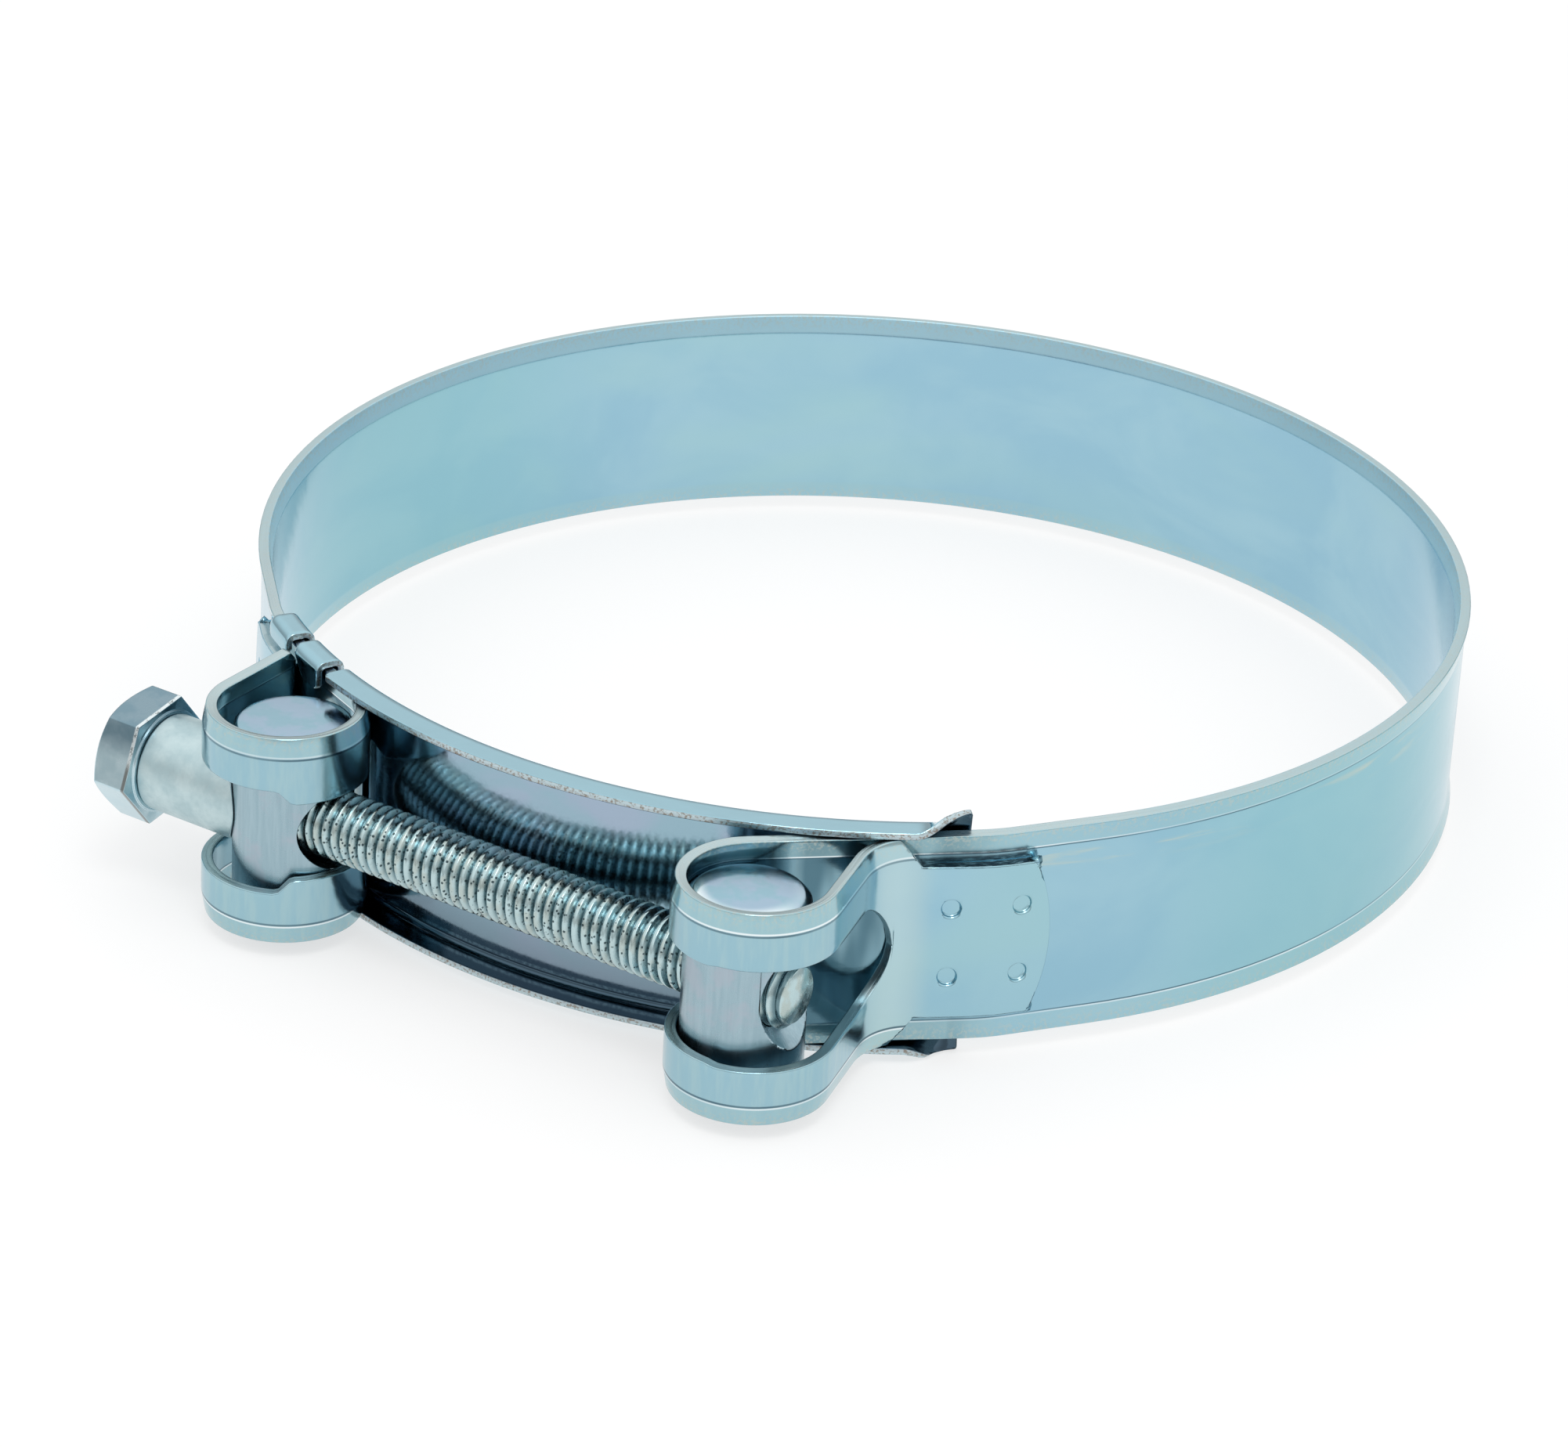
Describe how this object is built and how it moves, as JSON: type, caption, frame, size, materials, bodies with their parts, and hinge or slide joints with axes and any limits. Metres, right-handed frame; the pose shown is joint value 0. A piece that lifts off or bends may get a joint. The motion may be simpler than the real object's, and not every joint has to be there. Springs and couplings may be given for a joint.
{
  "type": "pipe repair clamp",
  "caption": "Round heavy-duty pipe clamp: steel band with folded, slotted end loops, barrel trunnions drawn together by a hex bolt through a spacer, and a bridge across the gap.",
  "frame": {"origin": "centre of the band's ring, at the middle of its width", "axes": "+Z along the ring's axis, the pipe's own axis; the bolt lies on the -Y side and runs along X, with its head at -X and its tip at +X"},
  "size_m": [0.1414, 0.1545, 0.0292],
  "materials": {
    "band_steel": "bright blue-white zinc plating",
    "bridge_steel": "glossy blue-white zinc plating",
    "trunnion_steel": "brushed zinc plating",
    "bolt_steel": "zinc plating on a rolled thread",
    "spacer_steel": "pale matte zinc plating"
  },
  "bodies": {
    "clamp": {"band": "band_steel", "bridge": "bridge_steel", "plain_trunnion": "trunnion_steel", "threaded_trunnion": "trunnion_steel"},
    "spacer": {"spacer": "spacer_steel"},
    "bolt": {"bolt": "bolt_steel"}
  },
  "joints": [
    {"name": "bolt_feed", "type": "slide", "parent": "clamp", "child": "spacer", "axis": [1, 0, 0], "range_m": [-0.0125, 0]},
    {"name": "bolt_turn", "type": "hinge", "parent": "spacer", "child": "bolt", "pos_m": [0, -0.0746, 0], "axis": [1, 0, 0], "range_deg": [-3600, 0]}
  ],
  "couplings": [
    {"joint": "bolt_turn", "follows": "bolt_feed", "rad_per_m": 5026.5}
  ]
}
